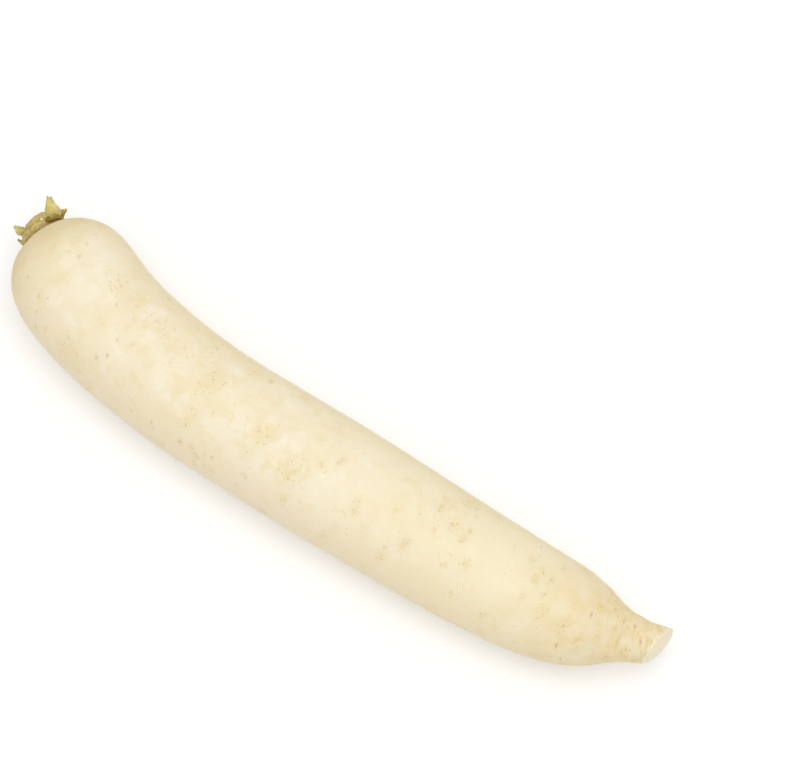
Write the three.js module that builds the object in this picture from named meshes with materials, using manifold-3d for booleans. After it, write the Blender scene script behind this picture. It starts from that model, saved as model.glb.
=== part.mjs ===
// A daikon radish as sold: the long white root with its tip trimmed by a knife, the
// short stem on its crown, and the leaf stalks and withered leaf bases that are left on
// the stem where the leaves were cut off. It lies on a surface and bends level with it.
// Millimetres, +Z up. The root runs along X, with its crown at -X and its tip at +X.
import * as THREE from 'three';
import { mergeVertices } from 'three/addons/utils/BufferGeometryUtils.js';
import Module from 'manifold-3d';

const wasm = await Module();
wasm.setup();

// ---- Driving dimensions ----

// The gap kept between two pieces that grow against each other.
const GAP = 0.3;
// Vertices closer than this are one vertex.
const MERGE_DISTANCE = 1e-4;

// The root's length along its centre line, from the crown to past where the knife cuts.
const ROOT_LENGTH = 340;

// How it bends, seen from above: one bend at the crown's end and one at the tip's, with a
// nearly straight body between. Headings are degrees from +X towards +Y. A bend turns
// the line away from the body's heading by its turn, and fades out over its length.
const BODY_HEADING = 2.7;
const CROWN_BEND = { turn: -25.3, straight: 8, length: 140, ease: 1.7 };
const TIP_BEND = { turn: 24, straight: 0, length: 130, ease: 2 };

// Its thickness: the shoulder swells from the crown's disc to the thickest place, as a
// rounded quarter, and from there the radius passes through a few places.
const CROWN_RADIUS = 10;
const SHOULDER = { length: 32, radius: 28.6, fullness: 2.3, roundness: 0.6 };
// Its rings lie closer together towards the crown, by this power.
const SHOULDER_STEPS = 9;
const SHOULDER_CROWDING = 1.7;
// Distance from the crown, and radius.
const BODY_RADII = [
  [32, 28.6],
  [60, 27.7],
  [110, 27],
  [160, 27.4],
  [240, 25.4],
  [284, 22],
  [300, 17],
  [312, 10.9],
  [340, 6.8],
];
const BODY_STEPS = 46;

// Along the thick part the centre line's height is the radius less this, so the
// underside has a narrow flat where it lies on the surface. Past the thick part the
// line droops a little, and the thin end hangs clear.
const FLAT_DEPTH = 0.35;
const THICK_END = 215;
const THIN_DROOP = 1.5;

// Steps that the centre line is walked in.
const LINE_STEPS = 68;
const ROOT_SIDES = 40;

// The crown end bulges to the +Y side of the centre line, over this first stretch.
const CROWN_SHIFT = 2;
const CROWN_SHIFT_LENGTH = 50;

// The knife cut across the tip: how far along the centre line, the way it faces, and how
// far it is turned upwards.
const TIP_CUT = { distance: 326.9, heading: -5.5, upturn: 8 };

// Blocks that are cut away: length, width and height. One is what the knife takes off
// the tip, and the other is what lies below the surface that the root rests on.
const OFFCUT = [60, 80, 80];
const GROUND = [400, 160, 20];

// The short stem's profile: height above the crown, and radius.
const STEM_PROFILE = [
  [GAP, 0],
  [GAP, 10.4],
  [1.6, 10.7],
  [3.2, 10.2],
  [4.5, 8.8],
  [5.3, 6.6],
  [5.7, 3.4],
  [5.8, 0],
];
const STEM_SIDES = 28;

// Leaves leave the stem in a spiral, each turned from the last by the golden angle.
// Angles count from straight up, positive towards +Y.
const FIRST_LEAF_ANGLE = 112.5;
const LEAF_TURN = 137.5;

// What is left of each leaf, oldest and outermost first.
// stray: degrees off the spiral. ring: distance from the stem's axis.
// width: round the ring. thick: through the middle.
// lean: how far it slopes outwards for each millimetre of height.
// splay: how much more its outer face slopes than its inner face.
// slant: how much higher its inner face stands than its outer face.
// edge: height of its cut or torn edge above the crown, at even steps across it.
const LEAVES = [
  { name: 'old_leaf_base_1', stray: -14, ring: 10.9, width: 9, thick: 2.2, lean: 0.75, splay: 0.8, slant: 2.2,
    edge: [6.2, 6.4, 5.8, 5] },
  { name: 'old_leaf_base_2', ring: 10.4, width: 9, thick: 2, lean: 0.5, edge: [5.2, 6.2, 7.8, 6.4, 6] },
  { name: 'old_leaf_base_3', ring: 11.3, width: 11, thick: 1.8, lean: 0.1, edge: [3, 3.6, 3.2, 3.8, 3.2] },
  { name: 'old_leaf_base_4', ring: 10.9, width: 10, thick: 1.8, lean: 0.1, edge: [3.4, 4.2, 3.6, 4.4, 3.4] },
  { name: 'old_leaf_base_5', ring: 10.5, width: 8.6, thick: 2, lean: 0.2, edge: [5.2, 6.4, 5.8, 5.2] },
  { name: 'leaf_stalk_1', stray: -4, ring: 8, width: 12.6, thick: 3, lean: 0.34,
    edge: [7.6, 9.4, 13.2, 12.2, 13.4, 11, 9, 8, 7.2] },
  { name: 'leaf_stalk_2', stray: -11, ring: 7.7, width: 10.6, thick: 3.2, lean: 0.2,
    edge: [7.2, 8.6, 9.2, 8.6, 7.8] },
  { name: 'leaf_stalk_3', ring: 7.7, width: 10, thick: 3, lean: 0.12, edge: [7, 7.6, 8, 8.2, 7.6] },
  { name: 'leaf_stalk_4', ring: 4.2, width: 5.6, thick: 2.4, lean: 0.1, edge: [7.6, 8.6, 8] },
  { name: 'leaf_stalk_5', stray: 4, ring: 4.8, width: 4.4, thick: 3, lean: 0.84, slant: 2,
    edge: [8.2, 9, 9.2] },
  { name: 'leaf_stalk_6', ring: 4.2, width: 5.6, thick: 2.4, lean: 0.05, edge: [8, 8.8, 8.2] },
];
// A leaf is thinner at its margins and along its edge, by these shares of its middle.
const MARGIN_SHARE = 0.3;
const EDGE_SHARE = 0.6;
// Heights above the crown: a leaf's foot, inside the stem, and where its slope begins.
const LEAF_FOOT = 1;
const LEAN_START = 3.6;
// Steps that a leaf is drawn with.
const LEAF_STEPS_ACROSS = 8;
const LEAF_STEPS_UP = 4;

// The bud of young leaves in the middle of the stem: height, and radius.
const BUD_PROFILE = [
  [5, 0],
  [5, 1.9],
  [7.2, 2.1],
  [8.2, 1.6],
  [8.6, 0],
];
const BUD_SIDES = 14;

// Colours.
const ROOT_COLOUR = 0xf2e6c8;
const STEM_COLOUR = 0x9c8448;
const OLD_LEAF_COLOUR = 0xb09a5c;
const STALK_COLOUR = 0xc9c27c;
const BUD_COLOUR = 0xd4cf94;

// ---- Shared helpers ----

// A closed geometry as a solid, for cutting.
function solidOf(geometry) {
  const bare = geometry.clone();
  bare.deleteAttribute('normal');
  bare.deleteAttribute('uv');
  const closed = mergeVertices(bare, MERGE_DISTANCE);
  const mesh = new wasm.Mesh({
    numProp: 3,
    vertProperties: new Float32Array(closed.attributes.position.array),
    triVerts: new Uint32Array(closed.index.array),
  });
  return new wasm.Manifold(mesh);
}

// A solid as a geometry again.
function geometryOf(solid) {
  const mesh = solid.getMesh();
  const geometry = new THREE.BufferGeometry();
  geometry.setAttribute('position', new THREE.BufferAttribute(mesh.vertProperties, 3));
  geometry.setIndex(new THREE.BufferAttribute(mesh.triVerts, 1));
  geometry.computeVertexNormals();
  return geometry;
}

// Moves every vertex of a geometry by a function of its place.
function reshape(geometry, move) {
  const places = geometry.attributes.position;
  const point = new THREE.Vector3();
  for (let i = 0; i < places.count; i += 1) {
    point.fromBufferAttribute(places, i);
    move(point);
    places.setXYZ(i, point.x, point.y, point.z);
  }
  return geometry;
}

// A solid of revolution about +Z from a list of heights and radii, grown all round.
function turned(profile, sides, grow = 0) {
  const foot = profile[0][0];
  const outline = profile.map(([height, radius]) => {
    const wider = radius === 0 ? 0 : radius + grow;
    const higher = height === foot ? foot - grow : height + grow;
    return new THREE.Vector2(wider, higher);
  });
  return new THREE.LatheGeometry(outline, sides).rotateX(Math.PI / 2);
}

function pieceOf(name, geometry, colour) {
  const material = new THREE.MeshStandardMaterial({ color: colour, roughness: 0.6, metalness: 0 });
  const piece = new THREE.Mesh(geometry, material);
  piece.name = name;
  return piece;
}

// A smooth value at a place, through a list of places and values.
function through(list, at) {
  const slope = (from, to) => (list[to][1] - list[from][1]) / (list[to][0] - list[from][0]);
  const last = list.length - 1;
  let i = 0;
  while (i < last - 1 && at > list[i + 1][0]) i += 1;
  const span = list[i + 1][0] - list[i][0];
  const share = THREE.MathUtils.clamp((at - list[i][0]) / span, 0, 1);
  const start = slope(Math.max(i - 1, 0), i + 1) * span;
  const end = slope(i, Math.min(i + 2, last)) * span;
  const rise = list[i + 1][1] - list[i][1];
  const bow = start * (1 - share) * (1 - share) * share - end * share * share * (1 - share);
  return list[i][1] + rise * THREE.MathUtils.smoothstep(share, 0, 1) + bow;
}

// ---- The root's thickness and centre line ----

function radiusAt(distance) {
  if (distance >= SHOULDER.length) return through(BODY_RADII, distance);
  const left = 1 - distance / SHOULDER.length;
  const share = (1 - left ** SHOULDER.fullness) ** SHOULDER.roundness;
  return THREE.MathUtils.lerp(CROWN_RADIUS, SHOULDER.radius, share);
}

function heightAt(distance) {
  const thick = THREE.MathUtils.clamp(distance, SHOULDER.length, THICK_END);
  const droop = Math.max(0, distance - THICK_END) / (ROOT_LENGTH - THICK_END);
  return radiusAt(thick) - FLAT_DEPTH - THIN_DROOP * droop;
}

// How far a bend turns the line, at a distance from the end that it is at.
function turnOf(bend, fromEnd) {
  const share = THREE.MathUtils.clamp(1 - (fromEnd - bend.straight) / bend.length, 0, 1);
  return bend.turn * share ** bend.ease;
}

// The centre line, walked from the crown in small steps along its heading.
function makeCentreLine() {
  const stride = ROOT_LENGTH / LINE_STEPS;
  const place = new THREE.Vector2();
  const places = [];
  for (let step = 0; step <= LINE_STEPS; step += 1) {
    const distance = step * stride;
    places.push(new THREE.Vector3(place.x, place.y, heightAt(distance)));
    const middle = distance + stride / 2;
    const turn = turnOf(CROWN_BEND, middle) + turnOf(TIP_BEND, ROOT_LENGTH - middle);
    const heading = THREE.MathUtils.degToRad(BODY_HEADING + turn);
    place.x += stride * Math.cos(heading);
    place.y += stride * Math.sin(heading);
  }
  return new THREE.CatmullRomCurve3(places, false, 'centripetal');
}

const UP = new THREE.Vector3(0, 0, 1);
const centreLine = makeCentreLine();

// The centre line's place and directions at a distance from the crown.
function frameAt(distance) {
  const share = THREE.MathUtils.clamp(distance / ROOT_LENGTH, 0, 1);
  const along = centreLine.getTangentAt(share);
  const side = new THREE.Vector3().crossVectors(UP, along).normalize();
  const above = new THREE.Vector3().crossVectors(along, side);
  const shift = CROWN_SHIFT * (1 - THREE.MathUtils.smoothstep(distance, 0, CROWN_SHIFT_LENGTH));
  const place = centreLine.getPointAt(share).addScaledVector(side, shift);
  return { place, along, side, above };
}

// ---- The root ----

// Half of the straight root's outline: rings closer together where the shoulder starts.
function rootOutline() {
  const outline = [new THREE.Vector2(0, 0)];
  for (let step = 0; step < SHOULDER_STEPS; step += 1) {
    const distance = SHOULDER.length * (step / SHOULDER_STEPS) ** SHOULDER_CROWDING;
    outline.push(new THREE.Vector2(radiusAt(distance), distance));
  }
  for (let step = 0; step <= BODY_STEPS; step += 1) {
    const distance = THREE.MathUtils.lerp(SHOULDER.length, ROOT_LENGTH, step / BODY_STEPS);
    outline.push(new THREE.Vector2(radiusAt(distance), distance));
  }
  outline.push(new THREE.Vector2(0, ROOT_LENGTH));
  return outline;
}

// The outline turned round a straight axis, then bent along the centre line, trimmed at
// the tip and flattened a little where it lies on the surface.
function makeRoot() {
  const straight = new THREE.LatheGeometry(rootOutline(), ROOT_SIDES);
  const bent = reshape(straight, (point) => {
    const { place, side, above } = frameAt(point.y);
    const across = point.x;
    const over = -point.z;
    point.copy(place).addScaledVector(side, across).addScaledVector(above, over);
  });
  const offcut = new THREE.BoxGeometry(...OFFCUT);
  offcut.translate(OFFCUT[0] / 2, 0, 0);
  offcut.rotateY(THREE.MathUtils.degToRad(-TIP_CUT.upturn));
  offcut.rotateZ(THREE.MathUtils.degToRad(TIP_CUT.heading));
  const cut = frameAt(TIP_CUT.distance).place;
  offcut.translate(cut.x, cut.y, cut.z);
  const ground = new THREE.BoxGeometry(...GROUND);
  ground.translate(ROOT_LENGTH / 2, 0, -GROUND[2] / 2);
  const trimmed = solidOf(bent).subtract(solidOf(offcut)).subtract(solidOf(ground));
  return pieceOf('root', geometryOf(trimmed), ROOT_COLOUR);
}

// ---- The crown: stem, leaves and bud, built upright about +Z ----

// The height of a leaf's edge at a share of its width, between the listed heights.
function edgeHeight(edge, share) {
  const at = THREE.MathUtils.clamp(share, 0, 1) * (edge.length - 1);
  const below = Math.min(Math.floor(at), edge.length - 2);
  return THREE.MathUtils.lerp(edge[below], edge[below + 1], at - below);
}

// A leaf base: a plate thickest along its middle, stood up, wrapped round its ring and
// sloped outwards, with its foot cut to sit on the stem.
function makeLeaf(leaf, angle, stem, colour) {
  const half = leaf.width / 2;
  const inner = [];
  const outer = [];
  for (let step = 0; step <= LEAF_STEPS_ACROSS; step += 1) {
    const across = (2 * step) / LEAF_STEPS_ACROSS - 1;
    const fullness = THREE.MathUtils.lerp(MARGIN_SHARE, 1, Math.sqrt(1 - across * across));
    const bulge = (leaf.thick / 2) * fullness;
    inner.push(new THREE.Vector2(across * half, -bulge));
    outer.unshift(new THREE.Vector2(across * half, bulge));
  }
  const section = new THREE.Shape([...inner, ...outer]);
  const plate = new THREE.ExtrudeGeometry(section, { depth: 1, steps: LEAF_STEPS_UP, bevelEnabled: false });
  reshape(plate, (point) => {
    const inward = point.y / leaf.thick;
    const top = edgeHeight(leaf.edge, point.x / leaf.width + 0.5) + (leaf.slant ?? 0) * inward;
    const height = THREE.MathUtils.lerp(LEAF_FOOT, top, point.z);
    const thickness = -point.y * THREE.MathUtils.lerp(1, EDGE_SHARE, point.z);
    const slope = leaf.lean - (leaf.splay ?? 0) * inward;
    const outward = slope * Math.max(0, height - LEAN_START);
    const turn = point.x / leaf.ring;
    const radius = leaf.ring + thickness + outward;
    point.set(radius * Math.cos(turn), radius * Math.sin(turn), height);
  });
  const piece = pieceOf(leaf.name, geometryOf(solidOf(plate).subtract(stem)), colour);
  piece.rotation.z = THREE.MathUtils.degToRad(angle);
  return piece;
}

function makeCrown() {
  const crown = new THREE.Group();
  crown.add(pieceOf('stem', turned(STEM_PROFILE, STEM_SIDES), STEM_COLOUR));
  const grownStem = solidOf(turned(STEM_PROFILE, STEM_SIDES, GAP));
  LEAVES.forEach((leaf, i) => {
    const colour = leaf.name.startsWith('old') ? OLD_LEAF_COLOUR : STALK_COLOUR;
    const angle = FIRST_LEAF_ANGLE + i * LEAF_TURN + (leaf.stray ?? 0);
    crown.add(makeLeaf(leaf, angle, grownStem, colour));
  });
  const bud = solidOf(turned(BUD_PROFILE, BUD_SIDES)).subtract(grownStem);
  crown.add(pieceOf('heart_bud', geometryOf(bud), BUD_COLOUR));
  const { place, along, side, above } = frameAt(0);
  const outward = along.clone().negate();
  crown.position.copy(place);
  crown.quaternion.setFromRotationMatrix(new THREE.Matrix4().makeBasis(above, side, outward));
  return crown;
}

// ---- The whole radish, its origin under the middle of its bounding box ----

const daikon = new THREE.Group();
daikon.add(makeRoot());
daikon.add(makeCrown());
const extent = new THREE.Box3().setFromObject(daikon, true);
const middle = extent.getCenter(new THREE.Vector3());
daikon.position.set(-middle.x, -middle.y, -extent.min.z);

export default daikon;
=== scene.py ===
"""The looks of a daikon radish: fine skin, cut flesh and crown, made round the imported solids."""

import math
import random

import bpy
import numpy as np
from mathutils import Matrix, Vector, noise
from mathutils.bvhtree import BVHTree


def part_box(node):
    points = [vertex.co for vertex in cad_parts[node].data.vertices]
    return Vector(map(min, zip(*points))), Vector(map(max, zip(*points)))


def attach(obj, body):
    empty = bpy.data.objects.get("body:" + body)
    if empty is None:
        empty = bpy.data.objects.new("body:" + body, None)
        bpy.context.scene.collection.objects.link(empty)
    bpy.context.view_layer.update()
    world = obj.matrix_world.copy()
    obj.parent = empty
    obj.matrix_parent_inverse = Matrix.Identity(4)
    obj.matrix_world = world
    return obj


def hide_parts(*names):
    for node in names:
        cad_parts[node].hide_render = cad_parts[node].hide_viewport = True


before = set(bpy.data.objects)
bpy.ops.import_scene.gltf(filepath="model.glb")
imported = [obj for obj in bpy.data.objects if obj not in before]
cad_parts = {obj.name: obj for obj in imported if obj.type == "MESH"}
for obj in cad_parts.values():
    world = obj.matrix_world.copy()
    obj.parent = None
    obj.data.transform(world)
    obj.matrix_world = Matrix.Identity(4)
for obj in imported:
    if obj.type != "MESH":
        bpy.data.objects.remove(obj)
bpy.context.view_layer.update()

MM = 0.001
UP = Vector((0, 0, 1))

# ---- Camera, light and floor ----

AZIMUTH = 35
ELEVATION = 70
CAMERA_DISTANCE = 1.2
LENS = 126.5
# What the picture is centred on: a point beside the root, on its hollow side.
CAMERA_TARGET = Vector((0.00979, 0.04782, 0.0285))

KEY_PLACE = (0.12, -0.12, 1.25)
KEY_SIZE = 0.9
KEY_WATTS = 5.0
# How strongly the surroundings light things. The camera sees them as pure white.
WORLD_LIGHT = 0.74
FLOOR_HALF = 3.0
# The floor lies a hair below the root, so that the two never share a plane.
FLOOR_LEVEL = -0.05 * MM
FLOOR_SHADE = 0.86
# How much brighter the camera sees the floor than it is lit: round the object, and far
# from it, where the lamp doesn't reach.
FLOOR_LIFT = 0.2
FLOOR_LIFT_FAR = 0.42
FLOOR_NEAR = 0.4
FLOOR_FAR = 2.0

# ---- The root's middle line ----

# The knife cut's faces lie this near the root's far end, and face this much along X.
CUT_SEARCH = 5 * MM
CUT_FACING = 0.98
# The line is fitted to this many places in the solid, which keep clear of its ends.
STATIONS = 60
CROWN_CLEAR = 30 * MM
TIP_CLEAR = 16 * MM
# How strongly it holds to its two ends, where any other place counts 1.
START_WEIGHT = 6.0
END_WEIGHT = 20.0
# The degrees of its curves sideways and upwards, and how many points it is kept as.
SIDEWAYS_DEGREE = 7
UPWARDS_DEGREE = 3
LINE_POINTS = 2000
# Its direction is taken over this much to either side.
DIRECTION_STEP = 2 * MM

# ---- The root's surface grid ----

SEGMENTS = 192
# Rays that find the crown end's surface fan out from this far inside it. The first ring
# leans from the middle line by this share of a quarter turn.
FAN_DEPTH = 26 * MM
FAN_RINGS = 52
FAN_START = 0.012
# Rings lie this far apart along the body, and this far near the tip, where they close up
# between these two distances from it.
BODY_STEP = 0.86 * MM
TIP_STEP = 0.52 * MM
CLOSING_UP = (70 * MM, 40 * MM)
# The rings' planes turn from square to the root to the knife's plane over this length.
TIP_LENGTH = 52 * MM
# The last ring is found this far inside the cut face. Distances along it are taken in
# the line's direction at this share of its length.
LAST_RING_INSIDE = 0.02 * MM
LAST_RING_FACING = 0.99
# Passes that smooth the solid's facets away, and their strength near the tip, which rises
# to 1 between these distances. The last few rings nearly keep their form.
SMOOTH_PASSES = 44
TIP_SMOOTH = 0.25
SMOOTH_RISE = (20 * MM, 60 * MM)
KEPT_RINGS = 6
KEPT_SMOOTH = 0.05
# The knife's edge on the flesh is rounded by this much, and by more on its worn side.
# The rounding takes the place of the last few rings, and the skin reaches over its first.
RIM_ROUND = 0.6 * MM
RIM_ROUND_WORN = 3.0 * MM
WORN_SIDE = (0.1, -0.98, -0.15)
WORN_RISE = (0.35, 0.98)
RIM_STEPS = 7
RIM_RINGS = 7
SKIN_OVER_RIM = 2
# The cut face's rings shrink to this share of its edge, and its middle is this hollow.
FACE_RINGS = 16
FACE_INNERMOST = 0.06
FACE_HOLLOW = 0.25 * MM
# The skin turns pale towards the knife's edge over this length.
RIM_FADE = 2.2 * MM

# ---- The skin's relief ----

# Lumps: how high and how wide.
SKIN_LUMPS = ((0.34 * MM, 34 * MM), (0.13 * MM, 13 * MM), (0.035 * MM, 4.2 * MM))
# Wrinkles and folds that run round the root: their width along it, then how high they
# are everywhere, and how much more near the tip and near the crown. Millimetres.
CREASES = ((1.9, 0.016, 0.1, 0.03), (5.5, 0.03, 0.2, 0.03))
# How often they change on the way round, and from where to where they rise and fade.
CREASE_TURNS = 1.9
CREASES_NEAR_TIP = (55 * MM, 12 * MM)
CREASES_NEAR_CROWN = (34 * MM, 6 * MM)
# The relief fades out towards the surface that the root rests on.
RESTING_RISE = (0.4 * MM, 5 * MM)

# ---- Marks on the skin ----

# Scars of side roots run in two rows on opposite sides of the root. Angles are degrees
# round it from the +Y side, over the top.
SCAR_ROW_ANGLE = 62
SCAR_STRAY = 7
SCAR_START = 22 * MM
SCAR_END_CLEAR = 8 * MM
SCAR_SPACING = (9 * MM, 19 * MM)
SCAR_WIDTH = (0.7 * MM, 1.2 * MM)
SCAR_SQUASH = 0.45
SCAR_DEPTH = 0.05
SCAR_STAIN = (0.2, 0.8)
SCAR_DARK = (0.0, 0.25)
# The other marks come in kinds, strewn by a seeded dice. For each kind: how many, the
# stretch they lie in as shares of the root's length, how strongly they crowd towards
# its far end (1 is evenly), their angles, their width across the root in millimetres,
# their length along it as a share of that width, and how deep (in millimetres), stained
# and dark they are.
MARK_KINDS = {
    "freckle": (18, (0.06, 0.4), 1.0, (142, 172), (0.8, 1.5), 0.6, (0.01, 0.04), (0.5, 0.9), (0.1, 0.45)),
    "nick": (22, (0.06, 0.97), 0.8, (0, 360), (0.6, 0.9), 0.9, (0.02, 0.06), (0.0, 0.3), (0.2, 0.5)),
    "cluster": (54, (0.08, 0.98), 0.7, (0, 360), (1.7, 4.4), 0.8, (0.0, 0.03), (0.35, 1.0), (0.0, 0.0)),
    "rust": (12, (0.5, 0.94), 0.9, (50, 125), (1.2, 2.6), 0.65, (0.02, 0.06), (0.7, 1.0), (0.0, 0.2)),
    "slit": (15, (0.88, 0.985), 0.9, (0, 360), (1.0, 2.0), 0.3, (0.16, 0.3), (0.4, 0.8), (0.6, 1.0)),
    "speckle": (90, (0.25, 0.97), 0.7, (0, 360), (0.9, 2.4), 0.75, (0.0, 0.03), (0.6, 1.0), (0.0, 0.22)),
    "prick": (46, (0.04, 0.24), 1.0, (0, 360), (0.6, 0.9), 0.8, (0.0, 0.03), (0.2, 0.6), (0.5, 1.0)),
}
MARK_SEED = 4
# Rings farther from a mark than this many of its lengths are left alone by it.
MARK_REACH = 5
# A mark's raised rim: how high, as a share of its depth, and how wide.
MARK_RIM = 0.35
MARK_RIM_WIDE = 5
# How far its stain spreads, and how sharply its dark middle ends.
STAIN_SPREAD = 2.2
DARK_SHARPNESS = 1.4

# ---- The crown's meshes, in millimetres ----

# Face sizes.
STEM_VOXEL = 0.22
LEAF_VOXEL = 0.17
# Points nearer to another piece than the first distance are sunk into it by the last,
# and those farther than the second stay: a leaf's foot on the stem, and a stub's side on
# the stub that it grows out of.
FOOT_JOINT = (0.4, 1.1, 0.5)
STUB_JOINT = (2.8, 4.4, 0.3)
# A leaf is made higher or lower above this height only, and leans above this one.
HEIGHT_KEPT = 2.5
LEAN_KEPT = 6
# Between these heights its skirt narrows, and its top begins to be drawn out.
SKIRT_FALL = (11.5, 6.0)
DRAWN_RISE = (4, 6.4)
# The percentages of a leaf's points between which it narrows towards its edge, by
# height, and between which its inner side turns into its outer side.
POINTED_RISE = (35, 99)
OUTER_RISE = (10, 90)
# A leaf's torn edge is measured in slots this wide, whose tops are smoothed by these
# shares, and it begins and ends this far below them.
EDGE_SLOT = 0.5
EDGE_SMOOTHING = (0.25, 0.5, 0.25)
EDGE_RISE = (-1.5, -0.1)
# Where its margins rise, as shares of half its breadth.
MARGIN_RISE = (0.55, 1.0)

# A leaf's strands: their height, and their size sideways, along it and through it. Then
# its lumps and pits (height and size), how much it swells and its edge is thinned, and
# the heights between which all this rises.
STRAND_HIGH = 0.1
STRAND_SIZE = (0.55, 6, 3)
LEAF_LUMPS = ((0.16, 2.4), (0.05, 0.9))
LEAF_SWELL = 0.04
EDGE_THINNED = 0.08
LEAF_LUMPS_RISE = (0.5, 2.0)
# Its torn edge: coarse and fine teeth (height and width), how far the whole edge is
# raised, and where both rise. Then how its margins curl in above a height.
TEETH = ((0.75, 1.5), (0.4, 0.6))
EDGE_RAISED = 0.25
TEETH_RISE = (2.0, 6.0)
CURL = 0.05
CURL_START = 4

# The stem's bands and upright ridges (height, how often they change on the way round,
# and their size along it), and its lumps and pits (height and size).
STEM_RIDGES = ((0.22, 4.2, 0.75), (0.14, 17, 5))
STEM_LUMPS = ((0.3, 2.6), (0.09, 0.7))
# Below this height it flares, and its foot is sunk this far into the root. The flare has
# an even and an uneven share, which changes so often on the way round.
STEM_FOOT = 1.2
STEM_SUNK = 0.9
FLARE = 0.25
FLARE_UNEVEN = 0.3
FLARE_TURNS = 6
FLARE_LEAST_RADIUS = 4
# The radii between which the stem's top turns into its side.
STEM_SIDE = (6, 11)

# The bud's folds: how many round it, how they twist on the way up, how high they are and
# how far they lie in, and the heights between which they rise. Then its lumps.
BUD_FOLDS = 1.5
BUD_TWIST = 0.55
BUD_FOLD_HIGH = 0.28
BUD_FOLD_IN = 0.2
BUD_RISE = (4.5, 7.5)
BUD_LUMPS = ((0.1, 0.9),)

# How a leaf stub differs from its plain form. wider and higher: by shares. shifted: how
# far it goes towards the +Y side. nearer: its distance from the stem's axis, by a share.
# leant: how much more it slopes outwards. skirt: how far the outer side of its foot
# spreads. notch: where its edge is notched, sideways from its middle, how deep and how
# wide. pointed: how much it narrows towards its edge, by a share. drawn: how far its
# outer edge is drawn outwards and up. raised: how far its inner edge is drawn up. joins:
# the stub that its inner side grows out of.
LEAF_SHAPES = {
    "leaf_stalk_1": {
        "wider": 1.03, "higher": 1.08, "leant": -0.11, "notch": (-1.6, 1.6, 0.6), "skirt": 1.8,
    },
    "leaf_stalk_3": {"wider": 1.25, "higher": 0.86},
    "leaf_stalk_5": {"wider": 0.95, "drawn": (2.2, 0.3), "notch": (0.2, 1.9, 1.0), "skirt": -1.0},
    "old_leaf_base_1": {
        "wider": 0.8, "nearer": 0.84, "drawn": (3.8, 0.2), "raised": 3.8, "pointed": 0.5,
        "joins": "leaf_stalk_1",
    },
    "old_leaf_base_2": {"higher": 1.1, "pointed": 0.75},
    "old_leaf_base_3": {"wider": 0.88, "shifted": 1.3, "higher": 1.2, "nearer": 0.97},
    "old_leaf_base_5": {"nearer": 0.9, "higher": 0.6},
}
# Where a stub has a painted highlight, a small pale spot, in the crown's frame.
HIGHLIGHT_SPOTS = {"leaf_stalk_3": (9.3, 1.05, 3.7)}

# ---- Colours, as red, green and blue in hex ----

SKIN = {
    "base": "f5eace",
    "warmer": "f3e5c4",
    "lighter": "f9f1dc",
    "cloud": "ebd9a4",
    "streak": "dfcda0",
    "near flank": "f1e0c0",
    "far flank": "efdcae",
    # Towards the crown: the skin's own tan, and partly painted shade.
    "near crown": "e3cc8e",
    "crown end": "dcc798",
    "far half": "f0e0b2",
    "near tip": "ead6b4",
    "tip patch": "e6ce90",
    "patch by the cut": "e2c87c",
    "crease": "d2b078",
    "low_tan": "dac298",
    "smudge": "e4ce94",
    "fleck": "cbad66",
    "prick": "8c7850",
    "dash": "b99f66",
    "stain": "e8d08e",
    "blot": "d2b266",
    "speck": "b48e48",
    "dark": "a06c2c",
    "rim": "f7ecd0",
}
FLESH = {
    "base": "fff3d8",
    "grain": "faeac8",
    "cloud": "f6e3c0",
    "rim": "f5e9c8",
    "ring": "e6cf98",
    "ray": "e9d5a4",
}
STEM = {
    "base": "dcc87c",
    "shade": "cab466",
    "ring": "83702f",
    "pinkish": "d8c09a",
    "pale": "e2d49a",
    # The colour along the stem's foot: its own brown, with painted shade under leaf_stalk_1.
    "seam_and_shade": "8a6e2c",
}
# The bud's base colour is painted shade, left in the grooves between its folds; fold is the colour of
# their ridges.
BUD = {"base": "a39a52", "fold": "ded79c", "shade": "bdb466"}
# The leaf stubs' ring colour, and the pale colour of a painted highlight.
LEAF = {"ring": "856f30", "highlight_spot": "fff8d2"}
# How each leaf stub looks: its body, shaded, rim and dried foot's colours, how dried its
# foot is, and how ragged its edge is.
LEAF_LOOKS = {
    "leaf_stalk_1": ("e2d792", "e0c25c", "97a063", "c0a850", 0.4, 0.3),
    "leaf_stalk_2": ("cdbb86", "bfa964", "8f8044", "a0883f", 0.45, 0.4),
    "leaf_stalk_3": ("dac68a", "cab262", "a89668", "b29a40", 0.6, 0.3),
    "leaf_stalk_4": ("c2b064", "ab984c", "80703a", "a0883f", 0.5, 0.4),
    "leaf_stalk_5": ("f0e49a", "e2d484", "6f7842", "bcb05c", 0.3, 0.3),
    "leaf_stalk_6": ("cfbd80", "b3a058", "85763e", "a0883f", 0.5, 0.4),
    "old_leaf_base_1": ("ddcb7a", "ccb65c", "a48e4c", "74581a", 1.0, 0.2),
    "old_leaf_base_2": ("d8c684", "c8b36c", "75623c", "ac964c", 0.4, 0.3),
    # old_leaf_base_3's dark foot is partly its own dried brown and partly painted shade under
    # leaf_stalk_1.
    "old_leaf_base_3": ("dcc65a", "c4aa3a", "80661c", "705408", 1.0, 0.3),
    "old_leaf_base_4": ("bda65e", "a08944", "7a6630", "8a7230", 0.6, 0.5),
    "old_leaf_base_5": ("dcc68e", "c8b062", "a08a50", "b49c48", 0.5, 0.3),
}
# How high a leaf stub's dried foot reaches, in millimetres, and where it differs.
FOOT_TOP = 3.6
# On old_leaf_base_3 the dark foot is partly painted shade.
FOOT_TOPS = {"old_leaf_base_1": 6.5, "old_leaf_base_3": 3.9}
# Between these distances from its middle a painted highlight's colour fades, in millimetres.
HIGHLIGHT_FADE = (0.45, 0.85)
# Half the root's thickness, in the skin's own millimetres.
BODY_HALF = 27
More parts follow.
